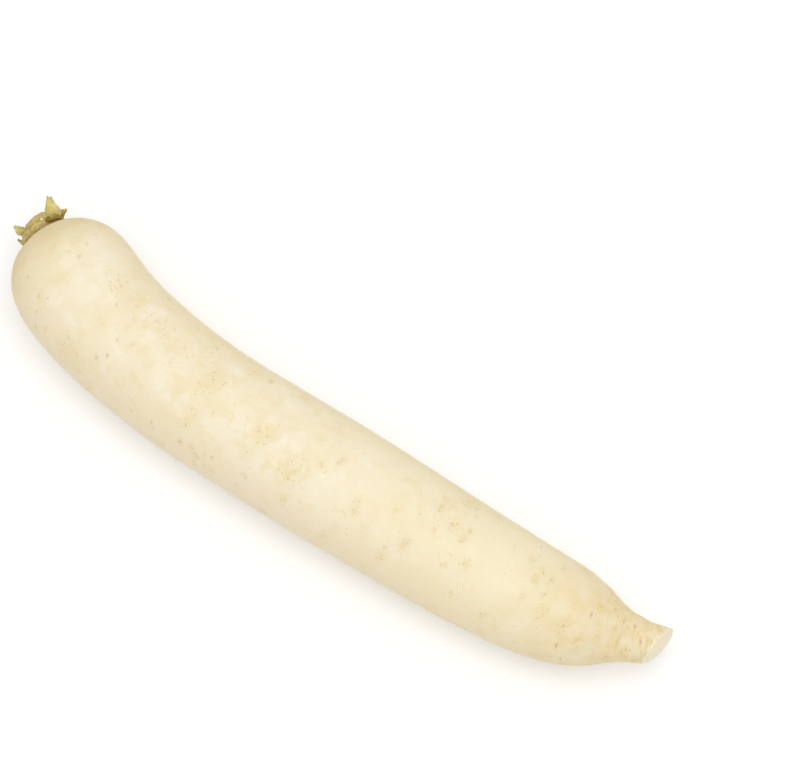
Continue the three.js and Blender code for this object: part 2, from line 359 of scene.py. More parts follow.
# How finely the cut face's rays are spread round it.
RAYS = 7
# How far red, green and blue light spread below a surface, beside each other.
SUBSURFACE_SPREAD = (1, 0.6, 0.35)


# ---- Helpers ----


def unit(v):
    """The rows of an array, each made one long."""
    return v / np.linalg.norm(v, axis=-1, keepdims=True)


def smoothstep(low, high, value):
    """0 below low, 1 above high, and a smooth rise between."""
    t = np.clip((np.asarray(value, float) - low) / (high - low), 0, 1)
    return t * t * (3 - 2 * t)


def tree_of(node):
    """A CAD node's surface, for casting rays at."""
    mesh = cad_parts[node].data
    return BVHTree.FromPolygons([v.co for v in mesh.vertices], [p.vertices for p in mesh.polygons])


def field(points, size, seed=0.0):
    """Smooth noise from -1 to 1 at each point, with lumps of about that size."""
    shift = Vector((seed * 7.31, seed * 3.17, seed * 5.93))
    return np.array([noise.noise(Vector(p) / size + shift) for p in points])


def lumps(points, kinds, seed):
    """Smooth noises on top of each other, each with its height and its size."""
    return sum(high * field(points, size, seed + k) for k, (high, size) in enumerate(kinds))


def add(name, data):
    """A new object in the scene that holds the data."""
    thing = bpy.data.objects.new(name, data)
    bpy.context.collection.objects.link(thing)
    return thing


def add_mesh(name, points, faces):
    """A new object in the scene with a mesh of these points and faces."""
    mesh = bpy.data.meshes.new(name)
    mesh.from_pydata([tuple(p) for p in points], [], faces)
    mesh.validate()
    return add(name, mesh)


def give(mesh, name, values):
    """Gives each point of a mesh a number, or three, for its material to read."""
    values = np.asarray(values, np.float32)
    kind, part = ("FLOAT_VECTOR", "vector") if values.ndim == 2 else ("FLOAT", "value")
    mesh.attributes.new(name, kind, "POINT").data.foreach_set(part, values.ravel())


# ---- Finding the root's middle line in its solid ----


def cut_face():
    """The knife-cut face's centre and outward direction."""
    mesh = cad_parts["root"].data
    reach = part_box("root")[1].x - CUT_SEARCH
    centre, total, normal = Vector(), 0.0, Vector()
    for face in mesh.polygons:
        if face.center.x > reach and face.normal.x > CUT_FACING:
            centre += face.center * face.area
            normal += face.normal * face.area
            total += face.area
    return centre / total, normal.normalized()


class MiddleLine:
    """A smooth line inside the root, from the crown's end to the cut tip."""

    def __init__(self, surface):
        low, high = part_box("root")
        stem_low, stem_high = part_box("stem")
        self.start = (stem_low + stem_high) / 2
        self.end, self.cut_normal = cut_face()
        height = (low.z + high.z) / 2
        places, weights = [self.start, self.end], [START_WEIGHT, END_WEIGHT]
        for x in np.linspace(low.x + CROWN_CLEAR, high.x - TIP_CLEAR, STATIONS):
            near = surface.ray_cast(Vector((x, -1, height)), Vector((0, 1, 0)))[0]
            far = surface.ray_cast(Vector((x, 1, height)), Vector((0, -1, 0)))[0]
            top = surface.ray_cast(Vector((x, (near.y + far.y) / 2, 1)), -UP)[0]
            places.append(Vector((x, (near.y + far.y) / 2, top.z - (far.y - near.y) / 2)))
            weights.append(1.0)
        places = np.array(places)
        fit = np.polynomial.Polynomial.fit
        across = fit(places[:, 0], places[:, 1], SIDEWAYS_DEGREE, w=weights)
        up = fit(places[:, 0], places[:, 2], UPWARDS_DEGREE, w=weights)
        x = np.linspace(self.start.x, self.end.x, LINE_POINTS)
        self.points = np.stack([x, across(x), up(x)], 1)
        steps = np.linalg.norm(np.diff(self.points, axis=0), axis=1)
        self.distances = np.concatenate([[0], np.cumsum(steps)])
        self.length = self.distances[-1]

    def at(self, distance):
        """The line's place at a distance from the crown."""
        return np.array([np.interp(distance, self.distances, self.points[:, k]) for k in range(3)])

    def along(self, distance):
        """The line's direction at a distance from the crown."""
        ahead = self.at(min(distance + DIRECTION_STEP, self.length))
        behind = self.at(max(distance - DIRECTION_STEP, 0))
        return unit(ahead - behind)


# ---- The root ----


def spokes(circle, facing):
    """Directions square to the facing, one for each place on a circle."""
    side = unit(np.cross(UP, facing))
    above = np.cross(facing, side)
    return circle[:, :1] * side + circle[:, 1:] * above


def ring_rays(line):
    """Where each ring's rays start, their directions, and their angles round the root."""
    turns = np.linspace(0, 2 * math.pi, SEGMENTS, endpoint=False)
    circle = np.stack([np.cos(turns), np.sin(turns)], 1)
    inside, along = line.at(FAN_DEPTH), line.along(FAN_DEPTH)
    across = spokes(circle, along)
    rays = []
    for lean in np.linspace(FAN_START, 1, FAN_RINGS, endpoint=False) * math.pi / 2:
        rays.append((inside, across * math.sin(lean) - along * math.cos(lean)))
    distance = FAN_DEPTH
    cut = np.array(line.cut_normal)
    while distance < line.length:
        from_tip = line.length - distance
        share = smoothstep(0, 1, 1 - from_tip / TIP_LENGTH)
        facing = unit(line.along(distance) * (1 - share) + cut * share)
        rays.append((line.at(distance), spokes(circle, facing)))
        distance += BODY_STEP + (TIP_STEP - BODY_STEP) * smoothstep(*CLOSING_UP, from_tip)
    rays.append((np.array(line.end) - cut * LAST_RING_INSIDE, spokes(circle, cut)))
    origins, directions = zip(*rays)
    return np.array(origins), np.array(directions), turns


def smooth_reach(reach, strength):
    """Smooths the reaches of the rays along the root and round it."""
    for _ in range(SMOOTH_PASSES):
        around = (np.roll(reach, 1, 1) + np.roll(reach, -1, 1)) / 2
        reach = reach + 0.5 * (around - reach)
        before = np.vstack([reach[:1], reach[:-1]])
        after = np.vstack([reach[1:], reach[-1:]])
        reach = reach + 0.5 * strength[:, None] * ((before + after) / 2 - reach)
    return reach


def normals_of(grid):
    """Outward directions of a grid of rings."""
    down = np.gradient(grid, axis=0)
    around = np.roll(grid, -1, 1) - np.roll(grid, 1, 1)
    return unit(np.cross(around, down))


def root_surface(line):
    """The skin as a grid of rings from crown to cut, with places along and round the root."""
    surface = tree_of("root")
    origins, directions, turns = ring_rays(line)
    reach = np.empty(directions.shape[:2])
    for i, origin in enumerate(origins):
        start = Vector(origin)
        for j in range(SEGMENTS):
            reach[i, j] = surface.ray_cast(start, Vector(directions[i, j]))[3]
    from_tip = line.length - np.linspace(0, line.length, len(origins))
    strength = TIP_SMOOTH + (1 - TIP_SMOOTH) * smoothstep(*SMOOTH_RISE, from_tip)
    strength[-KEPT_RINGS:] = KEPT_SMOOTH
    reach = smooth_reach(reach, strength)
    grid = origins[:, None, :] + directions * reach[:, :, None]
    distances = np.empty(reach.shape)
    distances[:FAN_RINGS] = FAN_DEPTH + (grid[:FAN_RINGS] - origins[0]) @ line.along(FAN_DEPTH)
    for i in range(FAN_RINGS, len(origins)):
        here = line.distances[np.argmin(np.linalg.norm(line.points - origins[i], axis=1))]
        is_last = i == len(origins) - 1
        facing = line.along(LAST_RING_FACING * line.length if is_last else here)
        distances[i] = here + (grid[i] - origins[i]) @ facing
    return grid, distances, turns


def skin_relief(grid, distances, turns, length):
    """How far the skin stands out from the smooth form at each point of the grid."""
    flat = grid.reshape(-1, 3)
    relief = lumps(flat, SKIN_LUMPS, 1)
    turn = np.tile(turns, len(grid))
    along = distances.reshape(-1)
    around = CREASE_TURNS * np.stack([np.cos(turn), np.sin(turn)], 1)
    near_tip = smoothstep(*CREASES_NEAR_TIP, length - along)
    near_crown = smoothstep(*CREASES_NEAR_CROWN, along)
    for seed, (wide, high, high_at_tip, high_at_crown) in enumerate(CREASES, 4):
        crease = field(np.column_stack([along / (wide * MM), around]), 1.0, seed)
        relief += MM * crease * (high + high_at_tip * near_tip + high_at_crown * near_crown)
    resting = smoothstep(*RESTING_RISE, flat[:, 2])
    return (relief * resting).reshape(distances.shape)


def marks_on(length):
    """Every mark: place along, angle, width, length along, depth, stain and dark."""
    random.seed(MARK_SEED)
    marks = []
    for row in (SCAR_ROW_ANGLE, SCAR_ROW_ANGLE + 180):
        along = SCAR_START
        while along < length - SCAR_END_CLEAR:
            width = random.uniform(*SCAR_WIDTH)
            angle = row + random.uniform(-SCAR_STRAY, SCAR_STRAY)
            look = [random.uniform(*SCAR_STAIN), random.uniform(*SCAR_DARK)]
            marks.append((along, angle, width, width * SCAR_SQUASH, width * SCAR_DEPTH, *look))
            along += random.uniform(*SCAR_SPACING)
    for number, (low, high), crowd, angles, widths, squash, depths, *looks in MARK_KINDS.values():
        for _ in range(number):
            along = length * (low + (high - low) * random.random() ** crowd)
            angle = random.uniform(*angles)
            width = random.uniform(*widths) * MM
            depth = random.uniform(*depths) * MM
            look = [random.uniform(*look) for look in looks]
            marks.append((along, angle, width, width * squash, depth, *look))
    return marks


def mark_layers(distances, turns, radius, length):
    """Over the grid: how deep the marks go, how stained they are, and how dark."""
    depth, stain, dark = (np.zeros(distances.shape) for _ in range(3))
    for along, angle, width, tall, deep, stained, darkened in marks_on(length):
        rows = np.abs(distances - along).min(axis=1) < MARK_REACH * tall
        turned = (turns - math.radians(angle) + math.pi) % (2 * math.pi) - math.pi
        across = turned[None, :] * radius[rows] / width
        down = (distances[rows] - along) / tall
        reach = across**2 + down**2
        depth[rows] += deep * (np.exp(-reach) - MARK_RIM * np.exp(-reach / MARK_RIM_WIDE))
        stain[rows] = np.maximum(stain[rows], stained * np.exp(-reach / STAIN_SPREAD))
        dark[rows] = np.maximum(dark[rows], darkened * np.exp(-reach * DARK_SHARPNESS))
    return depth, stain, dark


def rounded_end(grid, line):
    """Rings that round the knife's edge and close the cut face, from the skin inwards."""
    cut = np.array(line.cut_normal)
    rim = grid[-1]
    centre = rim.mean(axis=0)
    inward = unit(centre - rim)
    back = unit(grid[-RIM_RINGS] - rim)
    worn = smoothstep(*WORN_RISE, -inward @ np.array(WORN_SIDE))[:, None]
    radius = RIM_ROUND + (RIM_ROUND_WORN - RIM_ROUND) * worn
    rings = []
    for t in np.arange(RIM_STEPS + 1) / RIM_STEPS:
        rings.append(rim + back * radius * (1 - t) ** 2 + inward * radius * t**2)
    last = rings[-1]
    for share in np.linspace(1, FACE_INNERMOST, FACE_RINGS)[1:]:
        sunk = FACE_HOLLOW * (1 - share**2)
        rings.append(centre + (last - centre) * share - cut * sunk)
    return np.array(rings), centre - cut * FACE_HOLLOW


def grid_faces(count):
    """Quads between that many rings, and triangles from the end rings to two last points."""
    i, j = np.meshgrid(np.arange(count - 1), np.arange(SEGMENTS), indexing="ij")
    ring, next_ring = i * SEGMENTS, (i + 1) * SEGMENTS
    after = (j + 1) % SEGMENTS
    quads = np.stack([ring + j, ring + after, next_ring + after, next_ring + j], -1)
    faces = quads.reshape(-1, 4).tolist()
    last = (count - 1) * SEGMENTS
    pole = count * SEGMENTS
    for k in range(SEGMENTS):
        after = (k + 1) % SEGMENTS
        faces.append([pole, after, k])
        faces.append([pole + 1, last + k, last + after])
    return faces


def ring_radii(rings):
    """Each point's distance from the middle of its ring."""
    return np.linalg.norm(rings - rings.mean(axis=1, keepdims=True), axis=2)


def build_root(line):
    """The root's skin and cut face, with the numbers that their materials read."""
    grid, distances, turns = root_surface(line)
    depth, stain, dark = mark_layers(distances, turns, ring_radii(grid), line.length)
    relief = skin_relief(grid, distances, turns, line.length) - depth
    grid = grid + normals_of(grid) * relief[:, :, None]
    grid[:, :, 2] = np.maximum(grid[:, :, 2], 0)
    end_rings, centre = rounded_end(grid, line)
    skin_rows = len(grid) - RIM_RINGS
    rows = np.concatenate([grid[:skin_rows], end_rings])
    rows[:, :, 2] = np.maximum(rows[:, :, 2], 0)
    count = len(rows)
    points = np.concatenate([rows.reshape(-1, 3), [grid[0].mean(axis=0)], [centre]])
    root = add_mesh("daikon_root", points, grid_faces(count))
    mesh = root.data
    mesh.shade_smooth()

    tail = np.repeat(distances[-1:], len(end_rings), axis=0)
    along = np.concatenate([distances[:skin_rows].ravel(), tail.ravel(), [0, line.length]])
    turn = np.concatenate([np.tile(turns, count), [0, 0]])
    radius = np.concatenate([ring_radii(rows).ravel(), [0, 0]])
    give(mesh, "skin_mm", np.stack([along, radius * np.cos(turn), radius * np.sin(turn)], 1) / MM)
    from_rim = np.linalg.norm(rows - grid[-1], axis=2).ravel()
    give(mesh, "rim", np.concatenate([smoothstep(RIM_FADE, 0, from_rim), [0, 0]]))
    blank = np.zeros(tail.size + 2)
    give(mesh, "stain", np.concatenate([stain[:skin_rows].ravel(), blank]))
    give(mesh, "dark", np.concatenate([dark[:skin_rows].ravel(), blank]))

    is_flesh = np.zeros(len(points), bool)
    is_flesh[(skin_rows + SKIN_OVER_RIM) * SEGMENTS : count * SEGMENTS] = True
    is_flesh[-1] = True
    mesh.materials.append(skin_material(line.length / MM))
    mesh.materials.append(flesh_material())
    for face in mesh.polygons:
        if all(is_flesh[v] for v in face.vertices):
            face.material_index = 1
    return root


# ---- The crown: the stem and what is left of its leaves ----


class Crown:
    """The crown's own frame, in millimetres: x is upwards, y sideways, z out along the stem."""

    def __init__(self):
        points = np.array([v.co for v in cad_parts["stem"].data.vertices])
        middle = points.mean(axis=0)
        spread = np.cov((points - middle).T)
        outward = np.linalg.eigh(spread)[1][:, 0]
        outward = outward * -np.sign(outward[0])
        above = unit(np.array(UP) - outward * outward[2])
        self.axes = np.array([above, np.cross(outward, above), outward])
        self.origin = middle + outward * ((points - middle) @ outward).min()

    def local(self, points):
        return (points - self.origin) @ self.axes.T / MM

    def world(self, points):
        return points * MM @ self.axes + self.origin


def finer(node, crown, voxel):
    """A CAD node's form, built again from small even faces, in the crown's frame."""
    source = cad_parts[node].data
    points = crown.local(np.array([v.co for v in source.vertices]))
    rough = add_mesh(node + "_form", points, [tuple(f.vertices) for f in source.polygons])
    remesh = rough.modifiers.new("even", "REMESH")
    remesh.mode = "VOXEL"
    remesh.voxel_size = voxel
    depsgraph = bpy.context.evaluated_depsgraph_get()
    mesh = bpy.data.meshes.new_from_object(rough.evaluated_get(depsgraph))
    bpy.data.objects.remove(rough)
    mesh.name = node + "_fine"
    return mesh


def vectors_of(things, name):
    values = np.empty(len(things) * 3, np.float32)
    things.foreach_get(name, values)
    return values.reshape(-1, 3).astype(float)


def places_of(mesh):
    return vectors_of(mesh.vertices, "co")


def outsides_of(mesh):
    """The outward direction at each point of a mesh."""
    return vectors_of(mesh.vertex_normals, "vector")


def put_places(mesh, places):
    mesh.vertices.foreach_set("co", places.astype(np.float32).ravel())
    mesh.update()


def relax(mesh, passes):
    """Evens a mesh out, each point moving half way to the middle of its neighbours."""
    ends = np.empty(len(mesh.edges) * 2, np.int32)
    mesh.edges.foreach_get("vertices", ends)
    ends = ends.reshape(-1, 2)
    count = np.bincount(ends.ravel(), minlength=len(mesh.vertices))[:, None]
    places = places_of(mesh)
    for _ in range(passes):
        total = np.zeros_like(places)
        np.add.at(total, ends[:, 0], places[ends[:, 1]])
        np.add.at(total, ends[:, 1], places[ends[:, 0]])
        places = 0.5 * places + 0.5 * total / count
    put_places(mesh, places)


def middle_turn(places):
    """The angle round the crown of a piece's middle."""
    return math.atan2(places[:, 1].mean(), places[:, 0].mean())


def round_the_ring(places):
    """Angles round the crown from the middle of a piece, and distances from its axis."""
    turn = np.arctan2(places[:, 1], places[:, 0]) - middle_turn(places)
    turn = (turn + math.pi) % (2 * math.pi) - math.pi
    return turn, np.hypot(places[:, 0], places[:, 1])


def edge_and_margin(places):
    """Places across a leaf, and how near each is to its torn edge and to its two margins."""
    turn, radius = round_the_ring(places)
    across = turn * radius.mean()
    slots = np.round((across - across.min()) / EDGE_SLOT).astype(int)
    tops = np.full(slots.max() + 1, -1.0)
    np.maximum.at(tops, slots, places[:, 2])
    tops = np.convolve(np.pad(tops, 1, mode="edge"), EDGE_SMOOTHING, "valid")
    edge = smoothstep(*EDGE_RISE, places[:, 2] - tops[slots])
    half = (across.max() - across.min()) / 2
    margin = smoothstep(*MARGIN_RISE, np.abs(across - across.mean()) / half)
    return across, edge, margin


def draw_to(places, crown, tree, joint, share=1.0):
    """Draws the points near a solid onto it and a little way in."""
    near, far, sunk = joint
    moved = crown.world(places)
    share = np.broadcast_to(share, len(moved))
    for i, place in enumerate(moved):
        close, _, _, distance = tree.find_nearest(Vector(place))
        touching = share[i] * (1 - smoothstep(near, far, distance / MM))
        towards = (np.array(close) - place) / max(distance, 1e-9)
        moved[i] = place + towards * touching * (distance + sunk * MM)
    return crown.local(moved)


def reshape_leaf(places, crown, shape):
    """The larger changes to a leaf's plain form."""
    turn, radius = round_the_ring(places)
    across, edge, _ = edge_and_margin(places)
    height = places[:, 2]
    pointed_rise = np.percentile(height, POINTED_RISE)
    pinch = 1 - shape.get("pointed", 0) * smoothstep(*pointed_rise, height)
    turn = turn * shape.get("wider", 1) + shape.get("shifted", 0) / radius.mean()
    turn = middle_turn(places) + turn * pinch
    height = height + (height - HEIGHT_KEPT).clip(0) * (shape.get("higher", 1) - 1)
    notch_place, notch_depth, notch_width = shape.get("notch", (0, 0, 1))
    height = height - notch_depth * edge * np.exp(-(((across - notch_place) / notch_width) ** 2))
    radius = radius * shape.get("nearer", 1)
    radius = radius.mean() + (radius - radius.mean()) * (0.5 + 0.5 * pinch)
    outer = smoothstep(*np.percentile(radius, OUTER_RISE), radius)
    radius = radius + shape.get("skirt", 0) * smoothstep(*SKIRT_FALL, height) * outer
    out, up = shape.get("drawn", (0, 0))
    top = smoothstep(*DRAWN_RISE, height)
    radius = radius + out * outer**3 * top + shape.get("leant", 0) * (height - LEAN_KEPT).clip(0)
    height = height + up * outer**3 * top + shape.get("raised", 0) * (1 - outer) * top
    places = np.column_stack([radius * np.cos(turn), radius * np.sin(turn), height])
    if "joins" in shape:
        places = draw_to(places, crown, tree_of(shape["joins"]), STUB_JOINT, 1 - outer)
    return draw_to(places, crown, tree_of("stem"), FOOT_JOINT)


def weather_leaf(mesh, seed, raggedness):
    """Gives a leaf stub its strands, lumps and thin torn edge."""
    places = places_of(mesh)
    across, edge, margin = edge_and_margin(places)
    radius = np.hypot(places[:, 0], places[:, 1])
    strands = field(np.stack([across, places[:, 2], radius], 1) / STRAND_SIZE, 1.0, seed)
    raised = STRAND_HIGH * strands + lumps(places, LEAF_LUMPS, seed + 1)
    raised += LEAF_SWELL - EDGE_THINNED * edge
    above_foot = smoothstep(*LEAF_LUMPS_RISE, places[:, 2])
    places += outsides_of(mesh) * (raised * above_foot)[:, None]
    torn = np.stack([across, np.full_like(across, seed), np.zeros_like(across)], 1)
    teeth = lumps(torn, TEETH, seed + 3)
    places[:, 2] += (EDGE_RAISED + raggedness * teeth) * edge * smoothstep(*TEETH_RISE, places[:, 2])
    curl = CURL * (places[:, 2] - CURL_START).clip(0) * margin
    places[:, :2] *= (1 - curl / radius)[:, None]
    put_places(mesh, places)
    return edge, margin


def weather_stem(mesh):
    """Gives the stem its leaf scars, ridges and a foot that grows out of the root."""
    relax(mesh, 2)
    places = places_of(mesh)
    radius = np.hypot(places[:, 0], places[:, 1])
    turn = np.arctan2(places[:, 1], places[:, 0])
    circle = np.stack([np.cos(turn), np.sin(turn)], 1)
    scars = lumps(places, STEM_LUMPS, 33)
    for seed, (high, turns, size) in enumerate(STEM_RIDGES, 31):
        scars += high * field(np.column_stack([circle * turns, places[:, 2] / size]), 1.0, seed)
    places += outsides_of(mesh) * scars[:, None]
    foot = smoothstep(STEM_FOOT, 0, places[:, 2])
    uneven = field(np.column_stack([circle * FLARE_TURNS, foot * 0]), 1.0, 35)
    flare = foot * (FLARE + FLARE_UNEVEN * uneven)
    places[:, :2] *= (1 + flare / np.maximum(radius, FLARE_LEAST_RADIUS))[:, None]
    places[:, 2] -= STEM_SUNK * foot
    put_places(mesh, places)
    return foot, smoothstep(*STEM_SIDE, radius)


def weather_bud(mesh):
    """Folds the bud's young leaves round each other."""
    relax(mesh, 4)
    places = places_of(mesh)
    out = places[:, :2] - places[:, :2].mean(axis=0)
    turn = np.arctan2(out[:, 1], out[:, 0])
    folds = np.abs(np.sin(BUD_FOLDS * turn + BUD_TWIST * places[:, 2]))
    higher = smoothstep(*BUD_RISE, places[:, 2])
    places += outsides_of(mesh) * ((BUD_FOLD_HIGH * folds - BUD_FOLD_IN) * higher)[:, None]
    places += outsides_of(mesh) * lumps(places, BUD_LUMPS, 41)[:, None]
    put_places(mesh, places)
    return higher, folds


def nearest_place(mesh, place):
    """The mesh's point that is nearest to a place."""
    places = places_of(mesh)
    return tuple(places[np.linalg.norm(places - place, axis=1).argmin()])


def finish_piece(mesh, node, crown, edge, margin, material):
    """Puts a crown piece into the world, smooth, with its places kept for its material."""
    local = places_of(mesh)
    turn, radius = round_the_ring(local)
    give(mesh, "crown_mm", local)
    give(mesh, "edge", edge)
    give(mesh, "margin", margin)
    give(mesh, "across", turn * radius.mean())
    put_places(mesh, crown.world(local))
    mesh.shade_smooth()
    mesh.materials.clear()
    mesh.materials.append(material)
    piece = add(node + "_look", mesh)
    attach(piece, "root")
    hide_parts(node)


def build_crown(crown):
    stem = finer("stem", crown, STEM_VOXEL)
    foot, outside = weather_stem(stem)
    finish_piece(stem, "stem", crown, foot, outside, stem_material())
    for count, (node, look) in enumerate(LEAF_LOOKS.items()):
        leaf = finer(node, crown, LEAF_VOXEL)
        relax(leaf, 2)
        put_places(leaf, reshape_leaf(places_of(leaf), crown, LEAF_SHAPES.get(node, {})))
        edge, margin = weather_leaf(leaf, 50 + 7 * count, look[-1])
        highlight_spot = nearest_place(leaf, HIGHLIGHT_SPOTS[node]) if node in HIGHLIGHT_SPOTS else None
        finish_piece(leaf, node, crown, edge, margin, leaf_material(node, look, highlight_spot))
    bud = finer("heart_bud", crown, LEAF_VOXEL)
    higher, folds = weather_bud(bud)
    finish_piece(bud, "heart_bud", crown, higher, folds, bud_material())


# ---- Materials ----


def paint(code):
    """A colour written as red, green and blue in hex, in the linear numbers that shaders take."""
    parts = [int(code[k : k + 2], 16) / 255 for k in (0, 2, 4)]
    return [c / 12.92 if c <= 0.04045 else ((c + 0.055) / 1.055) ** 2.4 for c in parts] + [1.0]


class Nodes:
    """A node tree and short ways to add nodes to it."""

    def __init__(self, tree):
        self.nodes = tree.nodes
        self.links = tree.links

    def fill(self, sockets, values):
        """Sets sockets to values, or links them to other nodes' outputs."""
        for name, value in values.items():
            if isinstance(value, bpy.types.NodeSocket):
                self.links.new(value, sockets[name])
            else:
                sockets[name].default_value = value

    def make(self, kind, values=None, **settings):
        """A new node's outputs. Its values go into its sockets, by name or by number."""
        node = self.nodes.new("ShaderNode" + kind)
        for name, value in settings.items():
            setattr(node, name, value)
        self.fill(node.inputs, values or {})
        return node.outputs

    def attribute(self, name, output="Fac"):
        """What a mesh keeps for each point under that name."""
        return self.make("Attribute", attribute_name=name)[output]

    def position(self):
        return self.make("NewGeometry")["Position"]

    def seen_directly(self):
        """1 for what the camera sees, itself or in a gloss or through glass."""
        path = self.make("LightPath")
        direct = self.maths("MAXIMUM", path["Is Camera Ray"], path["Is Glossy Ray"])
        return self.maths("MAXIMUM", direct, path["Is Transmission Ray"])

    def maths(self, operation, a, b):
        return self.make("Math", {0: a, 1: b}, operation=operation)[0]

    def product(self, first, *others):
        for other in others:
            first = self.maths("MULTIPLY", first, other)
        return first

    def vector_maths(self, operation, *values):
        return self.make("VectorMath", dict(enumerate(values)), operation=operation)

    def stretch(self, vector, scale):
        return self.vector_maths("MULTIPLY", vector, scale)["Vector"]

    def distance(self, vector, place=(0, 0, 0)):
        return self.vector_maths("DISTANCE", vector, place)["Value"]

    def split(self, vector):
        return self.make("SeparateXYZ", {0: vector})

    def join(self, x, y=0.0):
        return self.make("CombineXYZ", {0: x, 1: y})[0]

    def band(self, value, low, high, bottom=0.0, top=1.0):
        """The bottom value below low, the top value above high, and a smooth rise between."""
        ends = {"From Min": low, "From Max": high, "To Min": bottom, "To Max": top}
        return self.make("MapRange", {"Value": value} | ends, interpolation_type="SMOOTHSTEP")[0]

    def noise(self, vector, size, detail=2.0, roughness=0.5, output=0):
        """One noise from 0 to 1, or three of them where the output is 1."""
        values = {"Vector": vector, "Scale": 1 / size, "Detail": detail, "Roughness": roughness}
        return self.make("TexNoise", values)[output]

    def strayed(self, vector, size, stray):
        """The vector, moved about by noise of that size."""
        noises = self.noise(vector, size, output=1)
        return self.vector_maths("MULTIPLY_ADD", noises, (stray, stray, stray), vector)["Vector"]

    def spots(self, vector, cell, radius, chance, seed, core):
        """Round marks in some cells of a random pattern, full over the core of their radius."""
        shift = (seed * 13.7, seed * 5.1, seed * 9.3)
        shifted = self.vector_maths("ADD", vector, shift)["Vector"]
        cells = self.make("TexVoronoi", {"Vector": shifted, "Scale": 1 / cell})
        disc = self.band(cells["Distance"], radius * core / cell, radius / cell, 1.0, 0.0)
        pick = self.split(cells["Color"])[0]
        return self.product(disc, self.band(pick, chance - 0.02, chance + 0.25, 1.0, 0.0))


class Shader(Nodes):
    """A material, whose colour is laid on coat by coat."""

    def __init__(self, name, palette):
        self.material = bpy.data.materials.new(name)
        self.material.use_nodes = True
        super().__init__(self.material.node_tree)
        self.surface = self.nodes["Principled BSDF"].inputs
        self.palette = palette
        self.colour = paint(palette["base"])

    def lay(self, colour, *masks):
        """Lays one of the palette's colours on, as strongly as the masks multiplied."""
        values = {0: self.product(*masks), 6: self.colour, 7: paint(self.palette[colour])}
        self.colour = self.make("Mix", values, data_type="RGBA")[2]

    def bump(self, height, strength, distance):
        values = {"Height": height, "Strength": strength, "Distance": distance}
        self.fill(self.surface, {"Normal": self.make("Bump", values)[0]})

    def finish(self, roughness, specular, subsurface=0.0, scale=MM):
        values = {"Base Color": self.colour, "Roughness": roughness, "Specular IOR Level": specular}
        below = {"Subsurface Weight": subsurface, "Subsurface Radius": SUBSURFACE_SPREAD}
        self.fill(self.surface, values | below | {"Subsurface Scale": scale})
        return self.material


